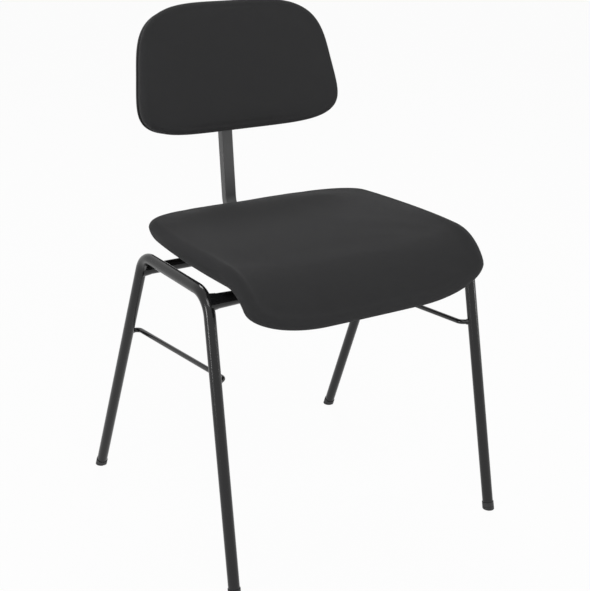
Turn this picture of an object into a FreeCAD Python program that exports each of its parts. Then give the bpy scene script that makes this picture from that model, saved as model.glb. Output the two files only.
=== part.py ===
# Choir chair: welded tube frame with a padded seat and a padded backrest on one post.
# Millimetres. +Z is up, the sitter faces -Y, and "left" is -X, as seen from the front.
# The origin is on the floor, at the bottom centre of the whole chair.
import FreeCAD
import Part
import math
import os

V = FreeCAD.Vector
os.makedirs("parts", exist_ok=True)

# Side frames: one bent tube each, an inverted U whose legs rake to the front and to the rear
frame_tube_diameter = 18.0
frame_tube_wall = 1.5
frame_top_height = 454.5        # centreline of the level top run
frame_half_width = 243.0        # centreline of the top run from the middle of the chair
frame_top_run = 211.0           # between the corners of the centreline
frame_bend_radius = 40.0
front_leg_rake = 11.1           # degrees from upright, forward
rear_leg_rake = 22.85           # degrees from upright, rearward
leg_splay = 1.07                # degrees, each side frame leans outward to the floor

# Cross tubes between the side frames, coped to them
front_cross_drop = 13.5         # centreline below the top run
front_cross_diameter = 20.0
front_cross_end_diameter = 23.5
front_cross_taper_length = 60.0
rear_cross_diameter = 18.0      # its height follows from the post that lies on it
cross_tube_wall = 2.0
weld_fit = 0.1                  # gap at each welded joint
weld_leg = 1.4                  # how far a weld bead stands out
cross_weld_length = 6.0

# Side rods: a thin rod inside each side frame, bent outward to both legs
rod_diameter = 8.0
rod_inset = 17.0                # from the side frame's top run, towards the middle
rod_front_drop = 130.5          # corner below the top run
rod_rear_drop = 151.5
rod_front_set_back = 11.0       # corner behind the front leg's centreline
rod_rear_set_back = 3.0
rod_bend_radius = 11.0
rod_weld_length = 2.5

# Feet: plastic caps over the tube ends, cut level with the floor
foot_wall = 0.8
foot_sole = 7.5                 # along the leg, from the floor to the tube's end
foot_collar_height = 12.5       # along the leg, from the floor
foot_groove_height = 4.0
foot_groove_depth = 0.5
foot_groove_width = 0.8
foot_stem_length = 18.0
foot_fit = 0.1

# Back post: one rectangular tube from under the seat up behind the backrest
post_width = 22.0
post_depth = 15.0
post_wall = 1.5
post_corner = 2.0
post_bend_radius = 45.0
post_lean = 6.3                 # degrees from upright, rearward
post_behind_seat = 27.3         # the centreline's corner, behind the seat's rear edge
post_under_seat = 1.0           # between the post's level run and the seat shell
post_above_backrest = 64.0      # its top above the middle of the backrest
post_cap_thickness = 3.0
post_cap_fit = 0.15
post_plug_length = 10.0
post_plug_corner = 0.4

# Seat: its middle surface runs level from the rear edge, then falls over the front edge
seat_rear_y = 228.7
seat_rest_gap = 0.3             # between the front cross tube and the seat shell
seat_fall = 0.4                 # degrees, down towards the front
seat_crest_ahead = 2.5          # where the fall begins, in front of the front cross tube
seat_front_radius = 63.6
seat_front_turn = 60.0          # degrees
seat_front_tail = 41.3
seat_thickness = 33.2
seat_edge = 12.0                # how far the rounded side reaches in
seat_crown = 5.0
seat_dish = 15.7                # rise of the middle surface at the dish reference
seat_front_dish = 10.8
dish_reference = 230.0
seat_side_gap = 16.6            # from the side frame's centreline to the widest part
seat_rear_narrowing = 25.1
seat_front_narrowing = 8.9
seat_rear_corner_x = 165.0
seat_rear_corner_y = 90.0
seat_front_corner_x = 140.0
seat_front_corner_y = 47.6
seat_end_round = 15.0           # how far the rounded front and rear edges reach in
face_chords = 12                # straight lengths across a pad's face or a board, an even number
pad_side_chords = 4             # in each of the two arcs of a pad's side
board_side_chords = 2           # in each arc of a board's edge
square_end = 0.1                # reach of an end that is cut square
shell_thickness = 10.0
shell_inset = 14.0
shell_recess = 3.2              # how far the pad's rim reaches below the shell
shell_edge = 3.0
soft_fit = 0.3                  # between soft pads and what they cover

# Seat lugs: bent steel strips from the cross tubes to the shell
lug_x = 120.0
lug_width = 30.0
lug_thickness = 3.0
lug_bend_radius = 2.5           # inside of the bend
lug_reach = 31.0                # from the tube side of the strip to its free end
lug_hole_from_end = 13.0
lug_fit = 0.3

# Screws and tee nuts of the seat and of the backrest
screw_diameter = 6.0
screw_hole_diameter = 6.6
screw_head_diameter = 11.0
screw_head_height = 3.3
screw_head_rim = 1.4            # the upright part of the head, below its sloping shoulder
screw_head_top_diameter = 6.6
screw_socket_width = 4.0
screw_socket_depth = 2.0
tee_nut_barrel = 8.0
tee_nut_flange = 18.0
tee_nut_flange_thickness = 1.4
tee_nut_length = 8.5
fastener_fit = 0.1
hole_overrun = 2.0              # how far a hole is drawn past the face it opens in

# Backrest: a pad on a curved shell with a thin cover at the rear
back_ahead_of_post = 38.7       # from the post's centreline to the backrest's middle surface
back_middle_height = 712.0
back_tilt = 13.5                # degrees from upright, rearward
back_rise_above = 112.3         # middle height to the top edge, along the tilt
back_drop_below = 105.5
back_half_width_bottom = 205.0
back_half_width_top = 171.0
back_thickness = 33.0
back_sag = 17.5                 # the sides stand this far forward at the sag reference
sag_reference = 180.0
back_crown = 4.0
back_edge = 11.0
back_top_power = 3.65           # roundness of the outline's corners, more is squarer
back_bottom_power = 4.3
back_end_round = 12.0
back_shell_thickness = 9.0
back_shell_inset = 13.0
back_cover_thickness = 4.5
back_cover_inset = 1.2
back_cover_edge = 2.0
back_cover_end_round = 3.0
back_shell_edge = 2.5

# Backrest bracket: a plate on the cover and two cheeks that hold the post
bracket_width = 66.0
bracket_height = 96.0
bracket_thickness = 3.0
bracket_corner = 8.0
bracket_screw_x = 24.0
bracket_screw_up = 34.0
cheek_height = 88.0
cheek_thickness = 2.5


def left_and_right():
    """The two sides of the chair: -1 is left, +1 is right."""
    return (("left", -1), ("right", 1))


# Points on a side frame: y along the chair, drop measured down the leaning plane
sin_splay = math.sin(math.radians(leg_splay))
cos_splay = math.cos(math.radians(leg_splay))
floor_drop = frame_top_height / cos_splay
frame_radius = frame_tube_diameter / 2.0
front_corner_y = -frame_top_run / 2.0
rear_corner_y = frame_top_run / 2.0


def frame_point(side, y, drop):
    """A point of the leaning plane of one side frame."""
    x = side * (frame_half_width + drop * sin_splay)
    return V(x, y, frame_top_height - drop * cos_splay)


def bend_tangent(rake):
    """Distance from a corner to where its bend begins."""
    return frame_bend_radius * math.tan(math.radians(90.0 - rake) / 2.0)


def leg_y(drop, corner_y, outward, rake):
    """The centreline's y at a drop; outward is -1 on the front leg and +1 on the rear one."""
    tangent = bend_tangent(rake)
    if drop >= tangent * math.cos(math.radians(rake)):
        return corner_y + outward * drop * math.tan(math.radians(rake))
    rise = frame_bend_radius - drop
    reach = math.sqrt(frame_bend_radius ** 2 - rise ** 2)
    return corner_y - outward * tangent + outward * reach


def front_leg_y(drop):
    return leg_y(drop, front_corner_y, -1, front_leg_rake)


def rear_leg_y(drop):
    return leg_y(drop, rear_corner_y, 1, rear_leg_rake)


def leg_direction(side, outward, rake):
    """Unit vector up a leg."""
    run = -outward * math.sin(math.radians(rake))
    rise = math.cos(math.radians(rake))
    return V(-side * rise * sin_splay, run, rise * cos_splay)


def floor_point(side, outward):
    """Where the centreline of a leg meets the floor."""
    if outward < 0:
        return frame_point(side, front_leg_y(floor_drop), floor_drop)
    return frame_point(side, rear_leg_y(floor_drop), floor_drop)


def rake_of(outward):
    return front_leg_rake if outward < 0 else rear_leg_rake


def frame_path(side):
    """The centreline of a side frame, from the front foot over the top to the rear foot."""
    edges = []
    middle = {}
    for outward, corner_y in ((-1, front_corner_y), (1, rear_corner_y)):
        rake = rake_of(outward)
        tangent = bend_tangent(rake)
        slant = math.radians(rake)
        turn = math.radians(90.0 - rake)
        centre_y = corner_y - outward * tangent
        on_top = frame_point(side, centre_y, 0.0)
        half = turn / 2.0
        bow_y = centre_y + outward * frame_bend_radius * math.sin(half)
        bow = frame_point(side, bow_y, frame_bend_radius * (1.0 - math.cos(half)))
        leg_start_y = corner_y + outward * tangent * math.sin(slant)
        leg_start = frame_point(side, leg_start_y, tangent * math.cos(slant))
        foot = floor_point(side, outward)
        end = foot + leg_direction(side, outward, rake) * foot_sole
        middle[outward] = (on_top, bow, leg_start, end)
    on_top, bow, leg_start, end = middle[-1]
    edges.append(Part.LineSegment(end, leg_start).toShape())
    edges.append(Part.Arc(leg_start, bow, on_top).toShape())
    rear_top, rear_bow, rear_start, rear_end = middle[1]
    edges.append(Part.LineSegment(on_top, rear_top).toShape())
    edges.append(Part.Arc(rear_top, rear_bow, rear_start).toShape())
    edges.append(Part.LineSegment(rear_start, rear_end).toShape())
    return Part.Wire(edges)


def swept_round(path, start, direction, radius):
    """A round bar along a path."""
    profile = Part.Wire(Part.makeCircle(radius, start, direction))
    return path.makePipeShell([profile], True, False)


def frame_bar(side, radius):
    """A side frame as a solid bar of the given radius."""
    start = floor_point(side, -1) + leg_direction(side, -1, front_leg_rake) * foot_sole
    return swept_round(frame_path(side), start, leg_direction(side, -1, front_leg_rake), radius)


side_frames = {}
frame_cope = {}
for name, side in left_and_right():
    bore = frame_bar(side, frame_radius - frame_tube_wall)
    side_frames[side] = frame_bar(side, frame_radius).cut(bore)
    frame_cope[side] = frame_bar(side, frame_radius + weld_fit)
both_copes = frame_cope[-1].fuse(frame_cope[1])


# Cross tubes, turned about a line along X; the front one is wider at its ends
front_cross_y = front_leg_y(front_cross_drop)
front_cross_z = frame_point(1, 0.0, front_cross_drop).z
front_cross_reach = frame_point(1, 0.0, front_cross_drop).x
front_cross_radius = front_cross_diameter / 2.0
front_cross_end_radius = front_cross_end_diameter / 2.0
rear_cross_radius = rear_cross_diameter / 2.0

# The shell rests on the front cross tube, the post runs under it, the rear tube under that
shell_rest_z = front_cross_z + front_cross_radius + seat_rest_gap
post_run_z = shell_rest_z - post_under_seat - post_depth / 2.0
rear_cross_z = post_run_z - post_depth / 2.0 - weld_fit - rear_cross_radius
rear_cross_drop = (frame_top_height - rear_cross_z) / cos_splay
rear_cross_y = rear_leg_y(rear_cross_drop)
rear_cross_reach = frame_point(1, 0.0, rear_cross_drop).x


def turned_along_x(y, z, stations):
    """A solid of revolution about the line along X through y, z."""
    first_x = stations[0][0]
    last_x = stations[-1][0]
    points = [V(first_x, y, z)]
    points += [V(x, y, z + radius) for x, radius in stations]
    points += [V(last_x, y, z), V(first_x, y, z)]
    face = Part.Face(Part.makePolygon(points))
    return face.revolve(V(0, y, z), V(1, 0, 0), 360)


def front_cross_stations(offset):
    """The front cross tube's radius along X, straight, tapered and straight again."""
    swell = front_cross_reach - frame_radius - cross_weld_length
    waist = swell - front_cross_taper_length
    wide = front_cross_end_radius + offset
    slim = front_cross_radius + offset
    left = [(-front_cross_reach, wide), (-swell, wide), (-waist, slim)]
    return left + [(-x, radius) for x, radius in reversed(left)]


front_cross_solid = turned_along_x(front_cross_y, front_cross_z, front_cross_stations(0.0))
front_cross_bore = Part.makeCylinder(front_cross_radius - cross_tube_wall,
                                     2.0 * front_cross_reach,
                                     V(-front_cross_reach, front_cross_y, front_cross_z),
                                     V(1, 0, 0))
front_cross_tube = front_cross_solid.cut(front_cross_bore).cut(both_copes)


def rear_cross_bar(radius):
    start = V(-rear_cross_reach, rear_cross_y, rear_cross_z)
    return Part.makeCylinder(radius, 2.0 * rear_cross_reach, start, V(1, 0, 0))


rear_cross_tube = rear_cross_bar(rear_cross_radius)
rear_cross_tube = rear_cross_tube.cut(rear_cross_bar(rear_cross_radius - cross_tube_wall))
rear_cross_tube = rear_cross_tube.cut(both_copes)


def largest(shape):
    """The biggest solid of a shape, without slivers left by a cope."""
    return max(shape.Solids, key=lambda solid: solid.Volume)


front_cross_tube = largest(front_cross_tube)
rear_cross_tube = largest(rear_cross_tube)


# Weld beads round the ends of the cross tubes: low cones that lean on the leg
def cross_weld(side, y, z, reach, radius):
    inner_x = reach - frame_radius - cross_weld_length
    start = V(side * inner_x, y, z)
    bead_length = cross_weld_length + frame_radius
    bead = Part.makeCone(radius + 0.4 * weld_leg, radius + 1.6 * weld_leg, bead_length,
                         start, V(side, 0, 0))
    core = Part.makeCylinder(radius + weld_fit, bead_length, start, V(side, 0, 0))
    return largest(bead.cut(core).cut(frame_cope[side]))


front_welds = []
rear_welds = []
for name, side in left_and_right():
    front_welds.append(cross_weld(side, front_cross_y, front_cross_z, front_cross_reach,
                                  front_cross_end_radius))
    rear_welds.append(cross_weld(side, rear_cross_y, rear_cross_z, rear_cross_reach,
                                 rear_cross_radius))


# Side rods: a long straight run with a short bent stub at each end
rod_radius = rod_diameter / 2.0


def rod_corners(side):
    """Leg point, corner, corner and leg point of a side rod, from front to rear."""
    front_leg = frame_point(side, front_leg_y(rod_front_drop), rod_front_drop)
    rear_leg = frame_point(side, rear_leg_y(rod_rear_drop), rod_rear_drop)
    rod_x = side * (frame_half_width - rod_inset)
    front = V(rod_x, front_leg.y + rod_front_set_back, front_leg.z)
    rear = V(rod_x, rear_leg.y + rod_rear_set_back, rear_leg.z)
    return front_leg, front, rear, rear_leg


def rounded_path(points, radius):
    """Straight runs through the points, joined by arcs of one radius."""
    edges = []
    here = points[0]
    for before, corner, after in zip(points[:-2], points[1:-1], points[2:]):
        back = (before - corner).normalize()
        ahead = (after - corner).normalize()
        half = back.getAngle(ahead) / 2.0
        tangent = radius / math.tan(half)
        begin = corner + back * tangent
        finish = corner + ahead * tangent
        bisector = (back + ahead).normalize()
        bow = corner + bisector * (radius / math.sin(half) - radius)
        edges.append(Part.LineSegment(here, begin).toShape())
        edges.append(Part.Arc(begin, bow, finish).toShape())
        here = finish
    edges.append(Part.LineSegment(here, points[-1]).toShape())
    return Part.Wire(edges)


side_rods = {}
rod_welds = []
for name, side in left_and_right():
    corners = rod_corners(side)
    path = rounded_path(corners, rod_bend_radius)
    rod = swept_round(path, corners[0], corners[1] - corners[0], rod_radius)
    side_rods[side] = largest(rod.cut(frame_cope[side]))
    for leg, corner in ((corners[0], corners[1]), (corners[3], corners[2])):
        outward = (corner - leg).normalize()
        bead = Part.makeCone(rod_radius + 1.5 * weld_leg, rod_radius + 0.5 * weld_leg,
                             frame_radius + rod_weld_length, leg, outward)
        core = Part.makeCylinder(rod_radius + weld_fit, 2.0 * frame_radius, leg, outward)
        rod_welds.append(largest(bead.cut(core).cut(frame_cope[side])))


# Feet: a cap over the tube's end, a stem in its bore, a grooved sole cut level
def foot(side, outward):
    rake = rake_of(outward)
    up = leg_direction(side, outward, rake)
    ground = floor_point(side, outward)
    cap_radius = frame_radius + foot_fit + foot_wall
    start = ground - up * foot_sole
    cap = Part.makeCylinder(cap_radius, foot_sole + foot_collar_height, start, up)
    pocket = Part.makeCylinder(frame_radius + foot_fit, foot_collar_height,
                               ground + up * (foot_sole - foot_fit), up)
    stem_radius = frame_radius - frame_tube_wall - foot_fit
    stem = Part.makeCylinder(stem_radius, foot_stem_length,
                             ground + up * (foot_sole - 2.0 * foot_fit), up)
    groove_start = ground + up * foot_groove_height
    ring = Part.makeCylinder(2.0 * cap_radius, foot_groove_width, groove_start, up)
    core = Part.makeCylinder(cap_radius - foot_groove_depth, foot_groove_width, groove_start, up)
    reach = 4.0 * cap_radius
    below = Part.makeBox(2.0 * reach, 2.0 * reach, reach,
                         V(ground.x - reach, ground.y - reach, -reach))
    return cap.cut(pocket).cut(ring.cut(core)).fuse(stem).cut(below).removeSplitter()


# Back post: an L of rectangular tube that rests on the rear cross tube
post_slope = math.tan(math.radians(post_lean))
post_corner_y = seat_rear_y + post_behind_seat
post_top_height = back_middle_height + post_above_backrest
post_bottom = V(0, post_corner_y, post_run_z)
post_top = V(0, post_corner_y + (post_top_height - post_run_z) * post_slope, post_top_height)
post_front = V(0, front_cross_y, post_run_z)


def post_y(z):
    """The centreline of the post's upright at a height."""
    return post_corner_y + (z - post_run_z) * post_slope


def rounded_rectangle(width, depth, corner, centre, across, along):
    """A closed wire: width goes along across, depth along the second direction."""
    w = width / 2.0
    d = depth / 2.0
    k = corner * (1.0 - math.sqrt(0.5))

    def at(a, b):
        return centre + across * a + along * b

    edges = []
    quadrants = ((1, 1), (-1, 1), (-1, -1), (1, -1))
    for number, (sa, sb) in enumerate(quadrants):
        on_side = at(sa * w, sb * (d - corner))
        on_end = at(sa * (w - corner), sb * d)
        bow = at(sa * (w - k), sb * (d - k))
        first, second = (on_side, on_end) if number % 2 == 0 else (on_end, on_side)
        edges.append(Part.Arc(first, bow, second).toShape())
        ta, tb = quadrants[(number + 1) % 4]
        if number % 2 == 0:
            following = at(ta * (w - corner), tb * d)
        else:
            following = at(ta * w, tb * (d - corner))
        edges.append(Part.LineSegment(second, following).toShape())
    return Part.Wire(edges)


post_path = rounded_path([post_front, post_bottom, post_top], post_bend_radius)


def post_bar(inset):
    corner = max(post_corner - inset, post_plug_corner)
    profile = rounded_rectangle(post_width - 2.0 * inset, post_depth - 2.0 * inset, corner,
                                post_front, V(1, 0, 0), V(0, 0, 1))
    return post_path.makePipeShell([profile], True, False)


post_cope = turned_along_x(front_cross_y, front_cross_z, front_cross_stations(weld_fit))
back_post = largest(post_bar(0.0).cut(post_bar(post_wall)).cut(post_cope))

# Post cap: a plastic lid with a plug in the post's open top
post_up = (post_top - post_bottom).normalize()
post_across = V(1, 0, 0)
post_deep = post_up.cross(post_across)


def post_block(width, depth, corner, start, length):
    wire = rounded_rectangle(width, depth, corner, start, post_across, post_deep)
    return Part.Face(wire).extrude(post_up * length)


lid = post_block(post_width, post_depth, post_corner, post_top, post_cap_thickness)
plug_start = post_top - post_up * post_plug_length
plug_trim = 2.0 * (post_wall + post_cap_fit)
plug = post_block(post_width - plug_trim, post_depth - plug_trim, post_plug_corner,
                  plug_start, post_plug_length + post_cap_thickness / 2.0)
post_cap = lid.fuse(plug).removeSplitter()


# Padded forms and pressed boards: cross-sections along a path, joined by a loft. Each
# section's curves are drawn as short straight lengths, which keeps the surfaces simple.
def section(origin, up, half_width, top, under, edge, rise, crown, side_chords):
    """A closed section: a dished top and underside with rounded sides.

    top and under are heights along up from the middle surface, rise is the dish at the side,
    and crown lifts the middle of the top. Both grow with the square of the width.
    """
    def at(x, h):
        return origin + V(x, 0, 0) + up * (h + rise * (x / half_width) ** 2)

    inner = half_width - edge
    foot_x = half_width - 0.8 * edge
    deep = top - under
    shoulder = half_width - 0.3 * edge
    chine = half_width - 0.24 * edge
    widest = under + 0.52 * deep
    arcs = [
        (at(-inner, top), origin + up * (top + crown), at(inner, top), face_chords),
        (at(inner, top), at(shoulder, under + 0.89 * deep), at(half_width, widest), side_chords),
        (at(half_width, widest), at(chine, under + 0.15 * deep), at(foot_x, under), side_chords),
        (at(foot_x, under), origin + up * under, at(-foot_x, under), face_chords),
        (at(-foot_x, under), at(-chine, under + 0.15 * deep), at(-half_width, widest), side_chords),
        (at(-half_width, widest), at(-shoulder, under + 0.89 * deep), at(-inner, top), side_chords),
    ]
    points = [arcs[0][0]]
    for start, middle, end, chords in arcs:
        arc = Part.Arc(start, middle, end).toShape()
        points += arc.discretize(Number=chords + 1)[1:]
    points[-1] = points[0]
    return Part.makePolygon(points)


def rounding(distance, reach):
    """How full the thickness is at a distance from a rounded end, 0.4 to 1."""
    if distance >= reach:
        return 1.0
    return 0.4 + 0.6 * math.sqrt(1.0 - (1.0 - distance / reach) ** 2)


# Seat: the path of its middle surface, measured from the rear edge
seat_low = -seat_thickness / 2.0
shell_low = seat_low + shell_recess
shell_high = shell_low + shell_thickness
seat_flat_length = seat_rear_y - front_cross_y + seat_crest_ahead
seat_descent = (seat_rear_y - front_cross_y) * math.tan(math.radians(seat_fall))
seat_middle_height = shell_rest_z - shell_low + seat_descent
seat_half_width_middle = frame_half_width - seat_side_gap
seat_half_width_rear = seat_half_width_middle - seat_rear_narrowing
seat_half_width_front = seat_half_width_middle - seat_front_narrowing
seat_turn = math.radians(seat_front_turn - seat_fall)
seat_bend_length = seat_front_radius * seat_turn
seat_length = seat_flat_length + seat_bend_length + seat_front_tail


def seat_frame(s):
    """The point of the middle surface and its upward normal at a distance along the path."""
    fall = math.radians(seat_fall)
    if s <= seat_flat_length:
        y = seat_rear_y - s * math.cos(fall)
        return V(0, y, seat_middle_height - s * math.sin(fall)), V(0, -math.sin(fall), math.cos(fall))
    y = seat_rear_y - seat_flat_length * math.cos(fall)
    z = seat_middle_height - seat_flat_length * math.sin(fall)
    centre = V(0, y + seat_front_radius * math.sin(fall), z - seat_front_radius * math.cos(fall))
    turned = min((s - seat_flat_length) / seat_front_radius, seat_turn) + fall
    up = V(0, -math.sin(turned), math.cos(turned))
    point = centre + up * seat_front_radius
    rest = s - seat_flat_length - seat_bend_length
    if rest > 0.0:
        point = point + V(0, -math.cos(turned), -math.sin(turned)) * rest
    return point, up


def seat_half_width(s, inset):
    """Half the seat's width at a distance along the path, for an outline set in by inset."""
    u = s / seat_length
    rear = seat_half_width_rear * (1.0 - u) * (1.0 - 2.0 * u)
    middle = seat_half_width_middle * 4.0 * u * (1.0 - u)
    front = seat_half_width_front * u * (2.0 * u - 1.0)
    wide = rear + middle + front - inset
    from_rear = s - inset
    from_front = seat_length - inset - s
    rear_reach = seat_rear_corner_y - inset
    front_reach = seat_front_corner_y - 0.5 * inset
    if from_rear < rear_reach:
        lack = 1.0 - math.sqrt(1.0 - (1.0 - from_rear / rear_reach) ** 2)
        return wide - (seat_rear_corner_x - inset) * lack
    if from_front < front_reach:
        lack = 1.0 - math.sqrt(1.0 - (1.0 - from_front / front_reach) ** 2)
        return wide - (seat_front_corner_x - inset) * lack
    return wide


def seat_dish_at(s):
    """The rise of the seat's sides at the dish reference, less over the front edge."""
    if s <= seat_flat_length:
        return seat_dish
    share = (s - seat_flat_length) / (seat_length - seat_flat_length)
    return seat_dish + (seat_front_dish - seat_dish) * share


def seat_stations(inset):
    """Distances along the path: close together at the rounded ends."""
    rear_reach = seat_rear_corner_y - inset
    front_reach = seat_front_corner_y - 0.5 * inset
    stations = []
    for angle in (12.0, 26.0, 42.0, 60.0, 80.0):
        stations.append(inset + rear_reach * (1.0 - math.cos(math.radians(angle))))
    first = inset + rear_reach
    last = seat_length - inset - front_reach
    for share in (0.12, 0.35, 0.6, 0.84):
        stations.append(first + (seat_flat_length - first) * share)
    for share in (0.0, 0.2, 0.4, 0.6, 0.8, 1.0):
        stations.append(seat_flat_length + (last - seat_flat_length) * share)
    for angle in (66.0, 48.0, 32.0, 18.0, 8.0):
        back = front_reach * (1.0 - math.cos(math.radians(angle)))
        stations.append(seat_length - inset - back)
    return stations


def seat_loft(inset, low, high, edge, crown, round_reach, side_chords):
    """A body that follows the seat's middle surface between two heights."""
    wires = []
    for s in seat_stations(inset):
        origin, up = seat_frame(s)
        near_end = min(s - inset, seat_length - inset - s)
        full = rounding(near_end, round_reach)
        half_width = seat_half_width(s, inset)
        share = (half_width / dish_reference) ** 2
        middle = (low + high) / 2.0
        top = middle + (high - middle) * full
        under = middle + (low - middle) * full
        wires.append(section(origin, up, half_width, top, under, edge,
                             seat_dish_at(s) * share, crown * share, side_chords))
    return Part.makeLoft(wires, True, True)


seat_body = seat_loft(0.0, seat_low, -seat_low, seat_edge, seat_crown, seat_end_round,
                      pad_side_chords)
seat_shell = seat_loft(shell_inset, shell_low, shell_high, shell_edge, 0.0, shell_edge,
                       board_side_chords)
shell_pocket = seat_loft(shell_inset - soft_fit, seat_low - shell_thickness,
                         shell_high + soft_fit, shell_edge, 0.0, square_end, board_side_chords)


# Where a screw meets the seat shell's underside, and the outward normal there
def seat_underside(x, y):
    s = (seat_rear_y - y) / math.cos(math.radians(seat_fall))
    origin, up = seat_frame(s)
    dish = seat_dish_at(s)
    lift = dish * (x / dish_reference) ** 2
    slope = 2.0 * dish * x / dish_reference ** 2
    point = origin + V(x, 0, 0) + up * (shell_low + lift)
    normal = (up - V(slope, 0, 0)).normalize()
    return point, normal


def placed(shape, point, normal):
    """A shape built along +Z at the origin, moved so that +Z is the normal."""
    copy = shape.copy()
    turn = FreeCAD.Rotation(V(0, 0, 1), normal)
    copy.Placement = FreeCAD.Placement(point, turn).multiply(copy.Placement)
    return copy


# One button-head screw and one tee nut, drawn along +Z from the shell's outer face
def screw(clamped, length):
    """clamped is the thickness between the head and the shell's face."""
    far = -clamped - screw_head_height
    shank_radius = screw_diameter / 2.0
    head_radius = screw_head_diameter / 2.0
    outline = [V(0, 0, far), V(screw_head_top_diameter / 2.0, 0, far),
               V(head_radius, 0, -clamped - screw_head_rim), V(head_radius, 0, -clamped),
               V(shank_radius, 0, -clamped), V(shank_radius, 0, length), V(0, 0, length),
               V(0, 0, far)]
    turned = Part.Face(Part.makePolygon(outline)).revolve(V(0, 0, 0), V(0, 0, 1), 360)
    points = []
    for corner in range(7):
        angle = math.radians(60.0 * corner)
        reach = screw_socket_width / math.sqrt(3.0)
        points.append(V(reach * math.cos(angle), reach * math.sin(angle), far))
    socket = Part.Face(Part.makePolygon(points)).extrude(V(0, 0, screw_socket_depth))
    return turned.cut(socket)


def tee_nut(board):
    """Its flange lies on the far face of a board of the given thickness."""
    bore = screw_diameter / 2.0 + fastener_fit
    barrel = tee_nut_barrel / 2.0
    flange = tee_nut_flange / 2.0
    near = board - tee_nut_length
    far = board + tee_nut_flange_thickness
    outline = [V(bore, 0, near), V(barrel, 0, near), V(barrel, 0, board), V(flange, 0, board),
               V(flange, 0, far), V(bore, 0, far), V(bore, 0, near)]
    return Part.Face(Part.makePolygon(outline)).revolve(V(0, 0, 0), V(0, 0, 1), 360)


def tee_nut_room(board):
    """The hole for a tee nut and its screw, with clearance, cut from the board and the pad."""
    through = Part.makeCylinder(tee_nut_barrel / 2.0 + fastener_fit, board + 2.0 * hole_overrun,
                                V(0, 0, -hole_overrun))
    flange = Part.makeCylinder(tee_nut_flange / 2.0 + soft_fit,
                               tee_nut_flange_thickness + soft_fit, V(0, 0, board))
    return through.fuse(flange)


# Seat lugs: the strip stands against a cross tube, bends and lies under the shell
def lug(side, tube_y, tube_z, tube_radius, inward):
    """inward is the direction along Y from the tube to the screw."""
    tube_side = tube_y + inward * (tube_radius + weld_fit)
    hole_y = tube_side + inward * (lug_reach - lug_hole_from_end)
    point, normal = seat_underside(side * lug_x, hole_y)
    under = point.z - lug_fit
    inner = lug_bend_radius
    outer = lug_bend_radius + lug_thickness
    k = 1.0 - math.sqrt(0.5)

    def at(out, z):
        return V(side * lug_x - lug_width / 2.0, tube_side + inward * out, z)

    profile = [
        Part.LineSegment(at(0, tube_z), at(0, under - outer)).toShape(),
        Part.Arc(at(0, under - outer), at(outer * k, under - outer * k), at(outer, under)).toShape(),
        Part.LineSegment(at(outer, under), at(lug_reach, under)).toShape(),
        Part.LineSegment(at(lug_reach, under), at(lug_reach, under - lug_thickness)).toShape(),
        Part.LineSegment(at(lug_reach, under - lug_thickness),
                         at(outer, under - lug_thickness)).toShape(),
        Part.Arc(at(outer, under - lug_thickness),
                 at(lug_thickness + inner * k, under - lug_thickness - inner * k),
                 at(lug_thickness, under - outer)).toShape(),
        Part.LineSegment(at(lug_thickness, under - outer), at(lug_thickness, tube_z)).toShape(),
        Part.LineSegment(at(lug_thickness, tube_z), at(0, tube_z)).toShape(),
    ]
    strip = Part.Face(Part.Wire(profile)).extrude(V(lug_width, 0, 0))
    lean = -side * math.degrees(math.atan2(abs(normal.x), normal.z))
    strip.rotate(point, V(0, 1, 0), lean)
    hole_reach = lug_thickness + outer
    hole = Part.makeCylinder(screw_hole_diameter / 2.0, 2.0 * hole_reach, V(0, 0, -hole_reach))
    return strip.cut(placed(hole, point, normal)), point, normal


seat_lugs = {}
seat_screws = []
seat_tee_nuts = []
seat_screw = screw(lug_thickness + lug_fit, shell_thickness - 1.0)
seat_tee_nut = tee_nut(shell_thickness)
for row, tube_y, tube_z, tube_radius, inward in (
        ("front", front_cross_y, front_cross_z, front_cross_radius, 1),
        ("rear", rear_cross_y, rear_cross_z, rear_cross_radius, -1)):
    for name, side in left_and_right():
        strip, point, normal = lug(side, tube_y, tube_z, tube_radius, inward)
        seat_lugs[row + "_" + name] = strip
        seat_screws.append(placed(seat_screw, point, normal))
        seat_tee_nuts.append(placed(seat_tee_nut, point, normal))
        room = placed(tee_nut_room(shell_thickness), point, normal)
        seat_shell = seat_shell.cut(room)
        shell_pocket = shell_pocket.fuse(room)
seat_pad = seat_body.cut(shell_pocket)


# Backrest: sections stacked up its tilted middle line, front side first
tilt = math.radians(back_tilt)
back_up = V(0, math.sin(tilt), math.cos(tilt))
back_out = V(0, -math.cos(tilt), math.sin(tilt))
back_middle_y = post_y(back_middle_height) - back_ahead_of_post
back_centre = V(0, back_middle_y, back_middle_height)


def back_half_width(share, inset):
    """Half the backrest's width; share runs from -1 at the bottom to +1 at the top."""
    wide = (back_half_width_bottom + back_half_width_top) / 2.0
    wide += (back_half_width_top - back_half_width_bottom) / 2.0 * share
    power = back_top_power if share > 0.0 else back_bottom_power
    return (wide - inset) * (1.0 - abs(share) ** power) ** (1.0 / power)


def back_loft(inset, low, high, edge, crown, round_reach, side_chords):
    """A body that follows the backrest's middle surface between two depths."""
    wires = []
    shares = (0.0, 0.3, 0.55, 0.74, 0.87, 0.945, 0.98, 0.996)
    for share in [-value for value in reversed(shares[1:])] + list(shares):
        reach = (back_rise_above if share > 0.0 else back_drop_below) - inset
        origin = back_centre + back_up * (share * reach)
        full = rounding((1.0 - abs(share)) * reach, round_reach)
        half_width = back_half_width(share, inset)
        grow = (half_width / sag_reference) ** 2
        middle = (low + high) / 2.0
        top = middle + (high - middle) * full
        under = middle + (low - middle) * full
        wires.append(section(origin, back_out, half_width, top, under, edge,
                             back_sag * grow, crown * grow, side_chords))
    return Part.makeLoft(wires, True, True)


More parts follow.
